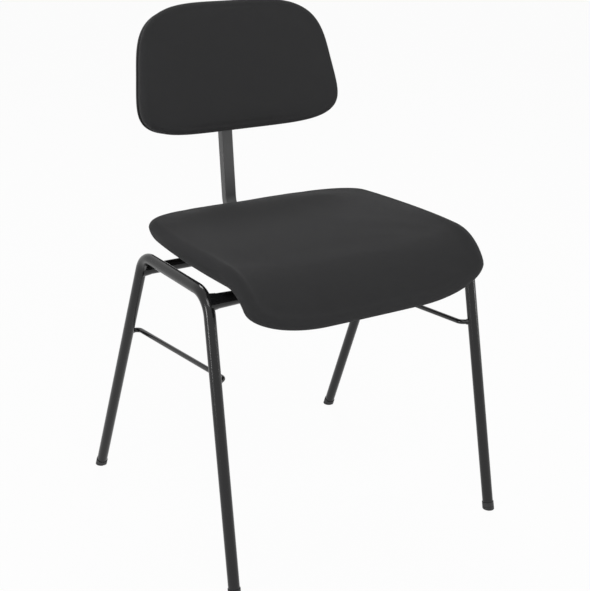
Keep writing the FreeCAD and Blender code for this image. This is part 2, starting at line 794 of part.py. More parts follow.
back_low = -back_thickness / 2.0
cover_high = back_low + back_cover_thickness
back_shell_low = cover_high + fastener_fit
back_shell_high = back_shell_low + back_shell_thickness
back_cover = back_loft(back_cover_inset, back_low, cover_high, back_cover_edge, 0.0,
                       back_cover_end_round, board_side_chords)
back_shell = back_loft(back_shell_inset, back_shell_low, back_shell_high, back_shell_edge, 0.0,
                       back_shell_edge, board_side_chords)
back_body = back_loft(0.0, cover_high + soft_fit, -back_low, back_edge, back_crown,
                      back_end_round, pad_side_chords)
back_pocket = back_loft(back_shell_inset - soft_fit, back_shell_low - back_shell_thickness,
                        back_shell_high + soft_fit, back_shell_edge, 0.0, square_end,
                        board_side_chords)


# Backrest bracket: a flat plate on the cover, with two cheeks back to the post
def back_point(x, up, out):
    return back_centre + V(x, 0, 0) + back_up * up + back_out * out


plate_face = back_low - fastener_fit
plate_wire = rounded_rectangle(bracket_width, bracket_height, bracket_corner,
                               back_point(0, 0, plate_face), V(1, 0, 0), back_up)
bracket = Part.Face(plate_wire).extrude(back_out * -bracket_thickness)
for name, side in left_and_right():
    inner_x = side * (post_width / 2.0 + weld_fit)
    outline = []
    for up in (-cheek_height / 2.0, cheek_height / 2.0):
        outline.append(back_point(inner_x, up, plate_face - bracket_thickness / 2.0))
    for up in (cheek_height / 2.0, -cheek_height / 2.0):
        start = back_point(inner_x, up, plate_face)
        reach = (post_y(start.z) - start.y) / math.cos(tilt)
        outline.append(start - back_out * reach)
    outline.append(outline[0])
    cheek = Part.Face(Part.makePolygon(outline)).extrude(V(side * cheek_thickness, 0, 0))
    bracket = bracket.fuse(cheek)
bracket = bracket.removeSplitter()

back_screws = []
back_tee_nuts = []
back_clamped = bracket_thickness + fastener_fit + back_cover_thickness + fastener_fit
back_screw = screw(back_clamped, back_shell_thickness - 1.0)
back_tee_nut = tee_nut(back_shell_thickness)
back_hole = Part.makeCylinder(screw_hole_diameter / 2.0, 2.0 * back_thickness,
                              V(0, 0, -back_thickness))
for name, side in left_and_right():
    for row in (-1, 1):
        point = back_point(side * bracket_screw_x, row * bracket_screw_up, back_shell_low)
        back_screws.append(placed(back_screw, point, back_out))
        back_tee_nuts.append(placed(back_tee_nut, point, back_out))
        room = placed(tee_nut_room(back_shell_thickness), point, back_out)
        hole = placed(back_hole, point, back_out)
        back_shell = back_shell.cut(room)
        back_pocket = back_pocket.fuse(room)
        back_cover = back_cover.cut(hole)
        bracket = bracket.cut(hole)
back_pad = back_body.cut(back_pocket)


# The floor centre of the whole chair becomes the origin
cap_radius = frame_radius + foot_fit + foot_wall
front_extreme = floor_point(1, -1).y - cap_radius / math.cos(math.radians(front_leg_rake))
rear_extreme = floor_point(1, 1).y + cap_radius / math.cos(math.radians(rear_leg_rake))
shift = V(0, -(front_extreme + rear_extreme) / 2.0, 0)


def save(node, solids):
    """Write one named piece, or one set of like pieces, in its place on the chair."""
    shape = Part.makeCompound(solids) if len(solids) > 1 else solids[0]
    shape = shape.copy()
    shape.translate(shift)
    shape.exportStep("parts/" + node + ".step")


for name, side in left_and_right():
    save(name + "_side_frame", [side_frames[side]])
    save(name + "_side_rod", [side_rods[side]])
    save("front_" + name + "_foot", [foot(side, -1)])
    save("rear_" + name + "_foot", [foot(side, 1)])
save("front_cross_tube", [front_cross_tube])
save("rear_cross_tube", [rear_cross_tube])
save("front_cross_tube_welds", front_welds)
save("rear_cross_tube_welds", rear_welds)
save("side_rod_welds", rod_welds)
for place, strip in seat_lugs.items():
    save(place + "_seat_lug", [strip])
save("seat_screws", seat_screws)
save("seat_tee_nuts", seat_tee_nuts)
save("seat_shell", [seat_shell])
save("seat_pad", [seat_pad])
save("back_post", [back_post])
save("back_post_cap", [post_cap])
save("backrest_bracket", [bracket])
save("backrest_screws", back_screws)
save("backrest_tee_nuts", back_tee_nuts)
save("backrest_cover", [back_cover])
save("backrest_shell", [back_shell])
save("backrest_pad", [back_pad])
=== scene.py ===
# Choir chair: a black tube frame, a padded seat that falls away in front, and a padded
# backrest on one post. The sections follow the chair as it is put together.
import math

import bpy
import numpy as np
from mathutils import Matrix, Vector


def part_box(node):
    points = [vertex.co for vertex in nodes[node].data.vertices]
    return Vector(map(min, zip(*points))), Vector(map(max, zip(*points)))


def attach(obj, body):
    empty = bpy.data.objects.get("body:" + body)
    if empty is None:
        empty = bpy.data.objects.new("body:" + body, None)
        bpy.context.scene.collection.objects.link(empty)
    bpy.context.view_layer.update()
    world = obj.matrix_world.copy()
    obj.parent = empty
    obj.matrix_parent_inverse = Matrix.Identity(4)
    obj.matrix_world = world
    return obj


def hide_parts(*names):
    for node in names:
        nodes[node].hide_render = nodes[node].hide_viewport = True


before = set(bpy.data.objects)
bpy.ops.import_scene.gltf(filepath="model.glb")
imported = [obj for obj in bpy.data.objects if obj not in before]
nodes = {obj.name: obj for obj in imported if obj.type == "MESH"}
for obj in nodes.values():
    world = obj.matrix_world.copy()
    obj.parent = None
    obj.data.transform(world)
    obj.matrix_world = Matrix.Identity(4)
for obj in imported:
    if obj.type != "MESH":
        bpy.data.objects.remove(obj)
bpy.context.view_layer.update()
scene = bpy.context.scene


# The camera stands in front of the chair, to its left, and looks down a little.
# Its place was worked out from the four legs and the side rods of the photograph.
picture_longest_side_px = 591.0
camera_place = Vector((-1.0215, -1.5960, 1.0539))
camera_azimuth = math.radians(-32.48)
camera_elevation = math.radians(19.49)
camera_roll = math.radians(0.67)
focal_length_px = 1201.3
sensor_width_mm = 36.0
lens_shift = (0.01142, -0.02343)
sight_range = (0.05, 50.0)


def camera_axes(azimuth, elevation, roll):
    """Right, up and back of a camera that looks at the object from an azimuth and a height."""
    back = Vector((math.sin(azimuth) * math.cos(elevation),
                   -math.cos(azimuth) * math.cos(elevation), math.sin(elevation)))
    level_right = Vector((math.cos(azimuth), math.sin(azimuth), 0.0))
    level_up = back.cross(level_right)
    right = level_right * math.cos(roll) + level_up * math.sin(roll)
    up = level_up * math.cos(roll) - level_right * math.sin(roll)
    return right, up, back


camera_data = bpy.data.cameras.new("camera")
camera = bpy.data.objects.new("camera", camera_data)
scene.collection.objects.link(camera)
right, up, back = camera_axes(camera_azimuth, camera_elevation, camera_roll)
turned = Matrix((right, up, back)).transposed().to_4x4()
camera.matrix_world = Matrix.Translation(camera_place) @ turned
camera_data.sensor_width = sensor_width_mm
camera_data.lens = focal_length_px * sensor_width_mm / picture_longest_side_px
camera_data.shift_x, camera_data.shift_y = lens_shift
camera_data.clip_start, camera_data.clip_end = sight_range
scene.camera = camera


# The studio: a pale floor that runs into a white surround, a broad lamp high in front on the
# left, a tall lamp low on each side that draws the tubes, and one overhead behind the chair.
scene.view_settings.view_transform = "Standard"


def area_lamp(name, place, target, width, height, power):
    """A rectangular lamp that faces a point."""
    data = bpy.data.lights.new(name, "AREA")
    data.shape = "RECTANGLE"
    data.size = width
    data.size_y = height
    data.energy = power
    lamp = bpy.data.objects.new(name, data)
    scene.collection.objects.link(lamp)
    facing = (Vector(target) - Vector(place)).to_track_quat("-Z", "Y")
    lamp.matrix_world = Matrix.Translation(place) @ facing.to_matrix().to_4x4()


def add_math(tree, operation, first, second=None):
    """A Math node; each argument is a number or a socket."""
    node = tree.nodes.new("ShaderNodeMath")
    node.operation = operation
    for socket, value in zip(node.inputs, (first, second)):
        if isinstance(value, (int, float)):
            socket.default_value = value
        elif value is not None:
            tree.links.new(value, socket)
    return node.outputs[0]


def white_rays(tree):
    """1 for rays that come straight from the camera, or by way of a mirror or a glass."""
    seen = tree.nodes.new("ShaderNodeLightPath")
    direct = add_math(tree, "MAXIMUM", seen.outputs["Is Camera Ray"],
                      seen.outputs["Is Transmission Ray"])
    return add_math(tree, "MAXIMUM", direct, seen.outputs["Is Glossy Ray"])


def new_material(name):
    """A node material with only a Principled BSDF and its output."""
    material = bpy.data.materials.new(name)
    material.use_nodes = True
    return material, material.node_tree, material.node_tree.nodes["Principled BSDF"]


WHITE = (1.0, 1.0, 1.0, 1.0)
surround_light = 0.20
floor_reach = 30.0
floor_whiteness = 0.96
floor_grey = (0.86, 0.86, 0.86, 1.0)
chair_middle = (0.0, 0.0, 0.45)
area_lamp("lamp_front", (-0.6, -1.7, 2.5), chair_middle, 1.1, 1.1, 22.0)
area_lamp("lamp_left", (-2.6, -0.6, 0.6), chair_middle, 0.5, 1.2, 24.0)
area_lamp("lamp_right", (2.4, -1.8, 0.8), chair_middle, 0.4, 1.4, 24.0)
area_lamp("lamp_behind", (0.9, 1.5, 3.2), chair_middle, 1.0, 0.8, 25.0)

surround = bpy.data.worlds.new("surround")
scene.world = surround
surround.use_nodes = True
tree = surround.node_tree
tree.nodes.clear()
choose = tree.nodes.new("ShaderNodeMixShader")
out = tree.nodes.new("ShaderNodeOutputWorld")
tree.links.new(white_rays(tree), choose.inputs["Fac"])
for socket, strength in ((1, surround_light), (2, 1.0)):
    sky = tree.nodes.new("ShaderNodeBackground")
    sky.inputs["Color"].default_value = WHITE
    sky.inputs["Strength"].default_value = strength
    tree.links.new(sky.outputs["Background"], choose.inputs[socket])
tree.links.new(choose.outputs["Shader"], out.inputs["Surface"])

ends = (-floor_reach, floor_reach)
floor_mesh = bpy.data.meshes.new("floor")
floor_mesh.from_pydata([(x, y, 0.0) for x in ends for y in ends], [], [(0, 2, 3, 1)])
floor = bpy.data.objects.new("floor", floor_mesh)
scene.collection.objects.link(floor)

floor_material, tree, shader = new_material("pale_floor")
shader.inputs["Base Color"].default_value = floor_grey
shader.inputs["Roughness"].default_value = 0.9
shader.inputs["Specular IOR Level"].default_value = 0.0
glow = tree.nodes.new("ShaderNodeEmission")
glow.inputs["Color"].default_value = WHITE
blend = tree.nodes.new("ShaderNodeMixShader")
whitened = add_math(tree, "MULTIPLY", white_rays(tree), floor_whiteness)
tree.links.new(whitened, blend.inputs["Fac"])
tree.links.new(shader.outputs["BSDF"], blend.inputs[1])
tree.links.new(glow.outputs["Emission"], blend.inputs[2])
tree.links.new(blend.outputs["Shader"], tree.nodes["Material Output"].inputs["Surface"])
floor_mesh.materials.append(floor_material)


# Effects that several finishes share: a fine pimpled skin, handling marks and dust, a
# cloth weave. Each is a group with named inputs, worked out on Object or UV coordinates.
def new_group(name, inputs, outputs):
    """An empty shader group with float or vector sockets."""
    group = bpy.data.node_groups.new(name, "ShaderNodeTree")
    for socket, kind, value in inputs:
        made = group.interface.new_socket(socket, in_out="INPUT", socket_type=kind)
        if value is not None:
            made.default_value = value
    for socket, kind in outputs:
        group.interface.new_socket(socket, in_out="OUTPUT", socket_type=kind)
    entry = group.nodes.new("NodeGroupInput")
    leave = group.nodes.new("NodeGroupOutput")
    return group, entry, leave


def add_noise(tree, vector, scale, detail, roughness=0.5):
    """A Noise Texture; scale is a number or a socket."""
    node = tree.nodes.new("ShaderNodeTexNoise")
    tree.links.new(vector, node.inputs["Vector"])
    if isinstance(scale, (int, float)):
        node.inputs["Scale"].default_value = scale
    else:
        tree.links.new(scale, node.inputs["Scale"])
    node.inputs["Detail"].default_value = detail
    node.inputs["Roughness"].default_value = roughness
    return node.outputs["Fac"]


FLOAT = "NodeSocketFloat"
VECTOR = "NodeSocketVector"

# Pimpled skin: the height of a sprayed or moulded surface, two sizes of pimple together
skin_group, entry, leave = new_group(
    "pimpled_skin", [("Vector", VECTOR, None), ("Pimples per metre", FLOAT, 900.0)],
    [("Height", FLOAT)])
coarse = add_noise(skin_group, entry.outputs["Vector"], entry.outputs["Pimples per metre"], 2.0)
finer = add_math(skin_group, "MULTIPLY", entry.outputs["Pimples per metre"], 2.7)
fine = add_noise(skin_group, entry.outputs["Vector"], finer, 1.0)
half = add_math(skin_group, "MULTIPLY", fine, 0.4)
skin_group.links.new(add_math(skin_group, "ADD", coarse, half), leave.inputs["Height"])

# Handling: where hands, shoes and stacking have polished or dusted a surface, 0 to 1. Noise
# below the threshold leaves the surface as new, and the contrast sharpens what is above it.
handling_threshold = 0.46
handling_contrast = 3.2
handling_group, entry, leave = new_group(
    "handling", [("Vector", VECTOR, None), ("Patch size", FLOAT, 0.06), ("Amount", FLOAT, 0.5)],
    [("Mask", FLOAT)])
per_metre = add_math(handling_group, "DIVIDE", 1.0, entry.outputs["Patch size"])
patches = add_noise(handling_group, entry.outputs["Vector"], per_metre, 4.0, 0.6)
raised = add_math(handling_group, "SUBTRACT", patches, handling_threshold)
sharper = add_math(handling_group, "MULTIPLY", raised, handling_contrast)
amount = add_math(handling_group, "MULTIPLY", sharper, entry.outputs["Amount"])
clear = add_math(handling_group, "MAXIMUM", amount, 0.0)
handling_group.links.new(add_math(handling_group, "MINIMUM", clear, 1.0), leave.inputs["Mask"])

# Weave: warp and weft threads cross over and under each other, on the cloth's own UV in metres
weave_group, entry, leave = new_group(
    "plain_weave", [("Vector", VECTOR, None), ("Threads per metre", FLOAT, 1400.0)],
    [("Height", FLOAT), ("Thread", FLOAT)])
split = weave_group.nodes.new("ShaderNodeSeparateXYZ")
weave_group.links.new(entry.outputs["Vector"], split.inputs["Vector"])
turns = add_math(weave_group, "MULTIPLY", entry.outputs["Threads per metre"], 2.0 * math.pi)
across = add_math(weave_group, "MULTIPLY", split.outputs["X"], turns)
along = add_math(weave_group, "MULTIPLY", split.outputs["Y"], turns)
half_across = add_math(weave_group, "MULTIPLY", across, 0.5)
half_along = add_math(weave_group, "MULTIPLY", along, 0.5)
warp = add_math(weave_group, "ABSOLUTE", add_math(weave_group, "SINE", half_across))
weft = add_math(weave_group, "ABSOLUTE", add_math(weave_group, "SINE", half_along))
cross = add_math(weave_group, "MULTIPLY", add_math(weave_group, "COSINE", half_across),
                 add_math(weave_group, "COSINE", half_along))
over = add_math(weave_group, "GREATER_THAN", cross, 0.0)
lifted = add_math(weave_group, "MULTIPLY", warp, over)
under = add_math(weave_group, "MULTIPLY", weft, add_math(weave_group, "SUBTRACT", 1.0, over))
height = add_math(weave_group, "ADD", lifted, under)
weave_group.links.new(height, leave.inputs["Height"])
weave_group.links.new(over, leave.inputs["Thread"])


def place_group(tree, group, vector, **values):
    """A group node in a material, with its inputs set by name."""
    node = tree.nodes.new("ShaderNodeGroup")
    node.node_tree = group
    tree.links.new(vector, node.inputs["Vector"])
    for name, value in values.items():
        node.inputs[name.replace("_", " ")].default_value = value
    return node


def object_vector(tree):
    """Object coordinates."""
    return tree.nodes.new("ShaderNodeTexCoord").outputs["Object"]


# The colour sockets of a Mix node
MIX_SHARE, MIX_FIRST, MIX_SECOND, MIX_RESULT = 0, 6, 7, 2


def mixed_colour(tree, share, first, second):
    """A blend of two colours by a socket."""
    node = tree.nodes.new("ShaderNodeMix")
    node.data_type = "RGBA"
    tree.links.new(share, node.inputs[MIX_SHARE])
    node.inputs[MIX_FIRST].default_value = (*first, 1.0)
    node.inputs[MIX_SECOND].default_value = (*second, 1.0)
    return node.outputs[MIX_RESULT]


def ranged(tree, value, low, high):
    """A value of 0 to 1 stretched to low to high."""
    node = tree.nodes.new("ShaderNodeMapRange")
    tree.links.new(value, node.inputs["Value"])
    node.inputs["To Min"].default_value = low
    node.inputs["To Max"].default_value = high
    return node.outputs["Result"]


def bumped(tree, shader, height, distance, strength):
    """A Bump node that feeds the shader's normal."""
    node = tree.nodes.new("ShaderNodeBump")
    node.inputs["Distance"].default_value = distance
    node.inputs["Strength"].default_value = strength
    tree.links.new(height, node.inputs["Height"])
    tree.links.new(node.outputs["Normal"], shader.inputs["Normal"])


def finish_node(name, material):
    """A CAD node keeps its shape and gets a finish."""
    mesh = nodes[name].data
    mesh.materials.clear()
    mesh.materials.append(material)


# The steel frame: two bent tubes, two cross tubes, two thin side rods, the weld beads and the
# seat lugs, all welded together and then sprayed with one coat of satin black powder.
powder_coat, tree, shader = new_material("satin_black_powder_coat")
spot = object_vector(tree)
marks = place_group(tree, handling_group, spot, Patch_size=0.05, Amount=0.55)
skin = place_group(tree, skin_group, spot, Pimples_per_metre=1500.0)
coat = mixed_colour(tree, marks.outputs["Mask"], (0.008, 0.008, 0.0085), (0.012, 0.012, 0.0125))
tree.links.new(coat, shader.inputs["Base Color"])
tree.links.new(ranged(tree, marks.outputs["Mask"], 0.18, 0.27), shader.inputs["Roughness"])
shader.inputs["Specular IOR Level"].default_value = 0.38
bumped(tree, shader, skin.outputs["Height"], 0.00006, 0.5)
for name in ("left_side_frame", "right_side_frame", "front_cross_tube", "rear_cross_tube",
             "front_cross_tube_welds", "rear_cross_tube_welds", "left_side_rod",
             "right_side_rod", "side_rod_welds", "front_left_seat_lug",
             "front_right_seat_lug", "rear_left_seat_lug", "rear_right_seat_lug"):
    finish_node(name, powder_coat)


# The back post and its bracket: a rectangular tube, welded on before the spraying, and a bent
# plate. They have the tubes' black coat, painted lighter here as painted light: the light that
# their flat faces catch.
post_coat_painted_light, tree, shader = new_material("black_powder_coat_painted_lighter")
spot = object_vector(tree)
marks = place_group(tree, handling_group, spot, Patch_size=0.07, Amount=0.5)
skin = place_group(tree, skin_group, spot, Pimples_per_metre=1300.0)
# Painted light: a lighter black than the tubes' coat, standing in for the light on the flat faces
coat = mixed_colour(tree, marks.outputs["Mask"], (0.045, 0.045, 0.046), (0.056, 0.056, 0.057))
tree.links.new(coat, shader.inputs["Base Color"])
tree.links.new(ranged(tree, marks.outputs["Mask"], 0.34, 0.44), shader.inputs["Roughness"])
shader.inputs["Specular IOR Level"].default_value = 0.6
bumped(tree, shader, skin.outputs["Height"], 0.00006, 0.5)
for name in ("back_post", "backrest_bracket"):
    finish_node(name, post_coat_painted_light)


# The feet and the post's cap: soft black plastic, moulded with a fine grain. The feet are
# pushed into the tubes, and their soles are dusty and scuffed.
black_plastic, tree, shader = new_material("grained_black_plastic")
spot = object_vector(tree)
skin = place_group(tree, skin_group, spot, Pimples_per_metre=2200.0)
scuffs = place_group(tree, handling_group, spot, Patch_size=0.008, Amount=0.8)
height_of = tree.nodes.new("ShaderNodeSeparateXYZ")
tree.links.new(spot, height_of.inputs["Vector"])
dust_height = 0.012
near_floor = tree.nodes.new("ShaderNodeMapRange")
tree.links.new(height_of.outputs["Z"], near_floor.inputs["Value"])
near_floor.inputs["From Min"].default_value = dust_height
near_floor.inputs["From Max"].default_value = 0.0
dusted = add_math(tree, "MULTIPLY", near_floor.outputs["Result"], scuffs.outputs["Mask"])
dusty = mixed_colour(tree, dusted, (0.014, 0.014, 0.015), (0.06, 0.058, 0.055))
tree.links.new(dusty, shader.inputs["Base Color"])
shader.inputs["Roughness"].default_value = 0.62
bumped(tree, shader, skin.outputs["Height"], 0.00005, 0.6)
for name in ("front_left_foot", "front_right_foot", "rear_left_foot", "rear_right_foot",
             "back_post_cap"):
    finish_node(name, black_plastic)


# The seat shell and the backrest shell: pressed beech plywood, stained black and lacquered,
# so that only the grain shows in the sheen. The pads are glued on and stapled round them.
stained_plywood, tree, shader = new_material("stained_plywood")
spot = object_vector(tree)
stretch = tree.nodes.new("ShaderNodeMapping")
stretch.inputs["Scale"].default_value = (60.0, 4.0, 60.0)
tree.links.new(spot, stretch.inputs["Vector"])
fibres = add_noise(tree, stretch.outputs["Vector"], 6.0, 6.0, 0.65)
stain = mixed_colour(tree, fibres, (0.016, 0.014, 0.013), (0.050, 0.043, 0.038))
tree.links.new(stain, shader.inputs["Base Color"])
tree.links.new(ranged(tree, fibres, 0.36, 0.55), shader.inputs["Roughness"])
bumped(tree, shader, fibres, 0.0002, 0.5)
for name in ("seat_shell", "backrest_shell"):
    finish_node(name, stained_plywood)


# The screws and tee nuts: turned and pressed steel with a bright zinc plating that came out a
# little cloudy. The nuts are driven into the shells, and the screws pull the chair together.
zinc, tree, shader = new_material("zinc_plate")
spot = object_vector(tree)
cloud = add_noise(tree, spot, 220.0, 3.0)
plating = mixed_colour(tree, cloud, (0.50, 0.50, 0.49), (0.66, 0.66, 0.63))
tree.links.new(plating, shader.inputs["Base Color"])
shader.inputs["Metallic"].default_value = 1.0
tree.links.new(ranged(tree, cloud, 0.28, 0.42), shader.inputs["Roughness"])
for name in ("seat_screws", "seat_tee_nuts", "backrest_screws", "backrest_tee_nuts"):
    finish_node(name, zinc)


# The cloth of both pads: a fine black flat weave, stretched tight over foam, with a faint
# nap that catches the light where the surface turns away.
upholstery, tree, shader = new_material("black_flat_weave")
uv = tree.nodes.new("ShaderNodeUVMap")
uv.uv_map = "cloth"
weave = place_group(tree, weave_group, uv.outputs["UV"], Threads_per_metre=1300.0)
spot = object_vector(tree)
worn = place_group(tree, handling_group, spot, Patch_size=0.12, Amount=0.6)
thread_tone = mixed_colour(tree, weave.outputs["Thread"],
                           (0.030, 0.030, 0.031), (0.036, 0.036, 0.037))
faded = tree.nodes.new("ShaderNodeMix")
faded.data_type = "RGBA"
faded.blend_type = "MULTIPLY"
faded.inputs[MIX_SHARE].default_value = 1.0
tree.links.new(thread_tone, faded.inputs[MIX_FIRST])
fading = mixed_colour(tree, worn.outputs["Mask"], (1.0, 1.0, 1.0), (1.12, 1.12, 1.12))
tree.links.new(fading, faded.inputs[MIX_SECOND])
tree.links.new(faded.outputs[MIX_RESULT], shader.inputs["Base Color"])
shader.inputs["Roughness"].default_value = 0.75
shader.inputs["Specular IOR Level"].default_value = 0.1
shader.inputs["Sheen Weight"].default_value = 0.03
shader.inputs["Sheen Roughness"].default_value = 0.45
bumped(tree, shader, weave.outputs["Height"], 0.00018, 0.6)


# A pad is a closed skin round an outline: rings from the middle of the face to the rim, over
# the rounded edge, down the side wall, under the rim and back over the board it covers.
def even_points(outline, count):
    """A closed outline resampled to equally spaced points, from linear steps along its length."""
    closed = np.vstack([outline, outline[:1]])
    steps = np.hypot(*np.diff(closed, axis=0).T)
    travelled = np.concatenate([[0.0], np.cumsum(steps)])
    wanted = np.linspace(0.0, travelled[-1], count, endpoint=False)
    return np.stack([np.interp(wanted, travelled, closed[:, k]) for k in range(2)], axis=1)


def inward_normals(points):
    """Unit normals that point to the inside of a closed outline that runs anticlockwise."""
    ahead = np.roll(points, -1, axis=0) - np.roll(points, 1, axis=0)
    normal = np.stack([-ahead[:, 1], ahead[:, 0]], axis=1)
    return normal / np.linalg.norm(normal, axis=1, keepdims=True)


def arc_through(start, middle, end, count):
    """Points on the circle through three points, from the first to the last, evenly turned."""
    (ax, ay), (bx, by), (cx, cy) = start, middle, end
    twice = 2.0 * (ax * (by - cy) + bx * (cy - ay) + cx * (ay - by))
    a2, b2, c2 = ax * ax + ay * ay, bx * bx + by * by, cx * cx + cy * cy
    centre = np.array([(a2 * (by - cy) + b2 * (cy - ay) + c2 * (ay - by)) / twice,
                       (a2 * (cx - bx) + b2 * (ax - cx) + c2 * (bx - ax)) / twice])
    radius = math.dist(start, centre)
    angles = [math.atan2(y - centre[1], x - centre[0]) for x, y in (start, middle, end)]
    unwrapped = np.unwrap(np.array(angles))
    turn = np.linspace(unwrapped[0], unwrapped[-1], count)
    return np.stack([centre[0] + radius * np.cos(turn), centre[1] + radius * np.sin(turn)], axis=1)


def pad_rings(top, bottom, edge, foot, board_inset, board_top, steps):
    """Rim profile of a pad as (distance in from the outline, height) pairs.

    One arc rounds the face into the side over edge, a second the side into the rim's underside
    over foot. Each runs through a middle point given as shares of edge or foot and of the pad's
    depth. The last points turn up beside the board, a hair away from it, and on to its face.
    """
    deep = top - bottom
    shoulder = (0.3 * edge, bottom + 0.91 * deep)
    widest = (0.0, bottom + 0.64 * deep)
    slant = (0.36 * foot, bottom + 0.27 * deep)
    upper = arc_through((edge, top), shoulder, widest, steps)
    lower = arc_through(widest, slant, (foot, bottom), steps)
    beside_board = board_inset - 0.0004
    tuck = np.array([(board_inset - 0.0015, bottom + 0.0002), (beside_board, bottom + 0.002),
                     (beside_board, board_top)])
    return np.vstack([upper, lower[1:], tuck])


# Face rings lie a little closer together near the rim, and two rings close a pad over its
# board. On the cloth's UV map those two lie this far out, in metres.
ring_crowding = 0.85
closing_shares = np.array([0.8, 0.4])
closing_reach = 0.06


def skin_faces(count, rings):
    """Quads between neighbouring rings of count points, and a fan of triangles at each end.

    The two poles follow the last ring: the first pole closes the face, the second the board."""
    step = np.arange(count)
    ahead = (step + 1) % count
    ring = np.arange(rings - 1)[:, None] * count
    quads = np.stack([ring + step, ring + count + step, ring + count + ahead, ring + ahead],
                     axis=-1)
    last = (rings - 1) * count
    pole = np.full(count, rings * count)
    face_fan = np.stack([pole, step, ahead], axis=1)
    board_fan = np.stack([pole + 1, last + ahead, last + step], axis=1)
    return quads.reshape(-1, 4).tolist() + face_fan.tolist() + board_fan.tolist()


def pad_skin(outline, profile, crowned, place, centre, face_rings):
    """Points, faces and UVs of a pad, the UVs in metres of cloth.

    Face rings shrink the first rim ring towards the centre; crowned(along, across) is the
    height that the filling adds there. Rim rings step in along the outline's normals. Rings
    over the board close the skin. place turns (along, across, height) into a point in space.
    """
    count = len(outline)
    inward = inward_normals(outline)
    rim = outline[None, :, :] + inward[None, :, :] * profile[:, 0, None, None]
    share = np.linspace(0.0, 1.0, face_rings + 1)[1:-1] ** ring_crowding
    face = centre + (rim[0][None] - centre) * share[:, None, None]
    face_height = profile[0, 1] + crowned(face[..., 0], face[..., 1])
    under = centre + (rim[-1][None] - centre) * closing_shares[:, None, None]
    flat = np.concatenate([face, rim, under])
    rim_height = np.repeat(profile[:, 1][:, None], count, axis=1)
    heights = np.concatenate([face_height, rim_height, np.full((2, count), profile[-1, 1])])
    points = place(flat[..., 0], flat[..., 1], heights).reshape(-1, 3)
    summit = profile[0, 1] + crowned(centre[:1], centre[1:])[0]
    poles = place(np.full(2, centre[0]), np.full(2, centre[1]), np.array([summit, profile[-1, 1]]))
    points = np.vstack([points, poles])
    round_rim = np.cumsum(np.concatenate([[0.0], np.hypot(*np.diff(profile, axis=0).T)]))
    outward = np.concatenate([np.zeros(len(face_height)), round_rim, np.full(2, closing_reach)])
    cloth = flat - inward[None] * outward[:, None, None]
    cloth_flat = np.concatenate([cloth.reshape(-1, 2), [centre, centre]])
    return points, skin_faces(count, len(flat)), cloth_flat


def pad_object(name, skin):
    """A mesh object from a pad's skin, smooth, with its UV map called cloth."""
    points, faces, cloth = skin
    mesh = bpy.data.meshes.new(name)
    mesh.from_pydata(points.tolist(), [], faces)
    corner_points = np.zeros(len(mesh.loops), dtype=np.int32)
    mesh.loops.foreach_get("vertex_index", corner_points)
    uv_map = mesh.uv_layers.new(name="cloth")
    uv_map.data.foreach_set("uv", cloth[corner_points].astype(np.float32).ravel())
    mesh.shade_smooth()
    made = bpy.data.objects.new(name, mesh)
    scene.collection.objects.link(made)
    return made


# The simulated cloth: the grid of the coarse copy, the frames that it swells over, how many of
# its points each point of the skin follows, in how many batches that is worked out, and the
# furthest that tight cloth may stand out
cloth_voxel = 0.0065
cloth_frames = 20
nearest_moves = 60
batches = 40
furthest_move = 0.004
cloth_settings = {"quality": 6, "mass": 0.25, "tension_stiffness": 18.0,
                  "compression_stiffness": 18.0, "bending_stiffness": 1.2, "use_pressure": True,
                  "vertex_group_mass": "held"}


def point_array(mesh):
    """The points of a mesh as an array of rows."""
    flat = np.empty(len(mesh.vertices) * 3)
    mesh.vertices.foreach_get("co", flat)
    return flat.reshape(-1, 3)


def stuffed(piece, held, pressure):
    """Lets the foam push the cloth out, with a cloth simulation on a coarser copy.

    The copy is remeshed, pinned where held(points) is true and inflated. Each point of the fine
    skin then moves by the average of its nearest copy points' moves, weighted with the inverse
    of the squared distance plus the squared voxel size. No move is longer than furthest_move.
    """
    copy = bpy.data.objects.new("stuffing", piece.data.copy())
    scene.collection.objects.link(copy)
    remesh = copy.modifiers.new("remesh", "REMESH")
    remesh.mode = "VOXEL"
    remesh.voxel_size = cloth_voxel
    seen_by = bpy.context.evaluated_depsgraph_get()
    coarse = bpy.data.meshes.new_from_object(copy.evaluated_get(seen_by))
    copy.modifiers.clear()
    copy.data = coarse
    start = point_array(coarse)
    pins = copy.vertex_groups.new(name="held")
    pins.add(np.nonzero(held(start))[0].tolist(), 1.0, "REPLACE")
    cloth = copy.modifiers.new("cloth", "CLOTH")
    for setting, value in cloth_settings.items():
        setattr(cloth.settings, setting, value)
    cloth.settings.uniform_pressure_force = pressure
    cloth.settings.effector_weights.gravity = 0.0
    cloth.collision_settings.use_self_collision = False
    cloth.collision_settings.use_collision = False
    cloth.point_cache.frame_start = 1
    cloth.point_cache.frame_end = cloth_frames
    for frame_number in range(1, cloth_frames + 1):
        scene.frame_set(frame_number)
    seen_by = bpy.context.evaluated_depsgraph_get()
    moves = point_array(copy.evaluated_get(seen_by).to_mesh()) - start
    copy.evaluated_get(seen_by).to_mesh_clear()
    long = np.linalg.norm(moves, axis=1, keepdims=True)
    moves = moves * np.minimum(1.0, furthest_move / np.maximum(long, 1e-9))
    fine = point_array(piece.data)
    moved = np.empty_like(fine)
    for part in np.array_split(np.arange(len(fine)), batches):
        gap = ((fine[part, None, :] - start[None, :, :]) ** 2).sum(axis=2)
        near = np.argpartition(gap, nearest_moves, axis=1)[:, :nearest_moves]
        weight = 1.0 / (np.take_along_axis(gap, near, axis=1) + cloth_voxel ** 2)
        moved[part] = (moves[near] * weight[..., None]).sum(axis=1) / weight.sum(axis=1)[:, None]
    piece.data.vertices.foreach_set("co", (fine + moved).ravel())
    piece.data.update()
    bpy.data.objects.remove(copy)
    scene.frame_set(1)


